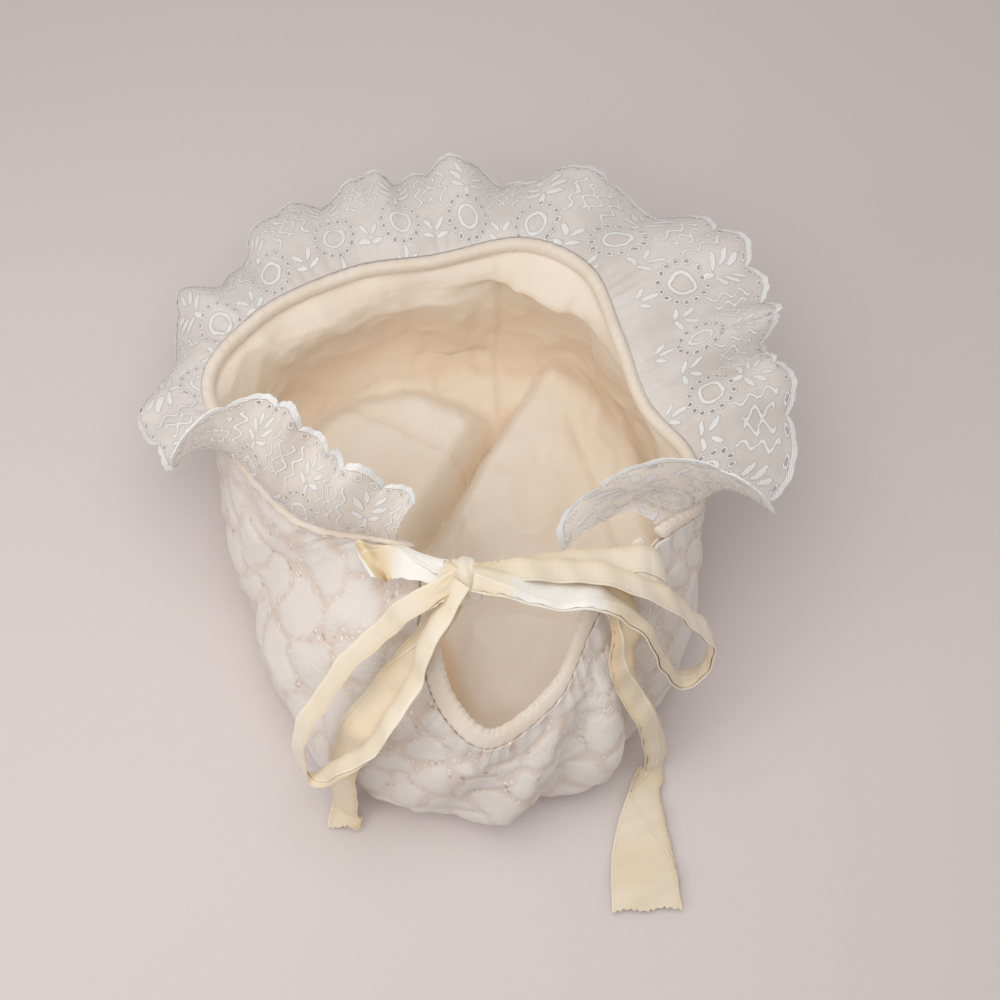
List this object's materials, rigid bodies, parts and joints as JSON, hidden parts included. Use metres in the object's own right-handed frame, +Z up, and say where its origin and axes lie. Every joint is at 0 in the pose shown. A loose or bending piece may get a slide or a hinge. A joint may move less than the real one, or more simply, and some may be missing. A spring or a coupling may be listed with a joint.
{
  "type": "baby bonnet",
  "caption": "Soft lined newborn bonnet lying on its crown, with a lace frill round the face edge and satin ties in a bow.",
  "frame": {"origin": "middle of the flat patch of the crown that the bonnet lies on", "axes": "+Z up out of the face opening, +Y towards the forehead edge, -Y towards the nape, +X to the right as seen from above with the nape nearest"},
  "size_m": [0.1715, 0.1988, 0.0798],
  "materials": {
    "embroidered_shell": "white cotton with rounded raised patches outlined in beige stitching, slight sheen",
    "lining_cloth": "soft cream lining, matt with a faint satin glow",
    "binding_cloth": "cream bias binding, satin",
    "lace": "sheer white eyelet lace with satin stitched motifs and a scalloped edge",
    "satin_ribbon": "pale yellow cream satin, glossy"
  },
  "bodies": {
    "root": {"shell": "embroidered_shell", "lining": "lining_cloth", "front_piping": "binding_cloth", "neck_band": "binding_cloth", "lace_frill": "lace", "bow_knot": "satin_ribbon", "strap_left": "satin_ribbon", "strap_right": "satin_ribbon", "loop_left": "satin_ribbon", "loop_right": "satin_ribbon", "tail_left": "satin_ribbon", "tail_right": "satin_ribbon"}
  },
  "joints": []
}
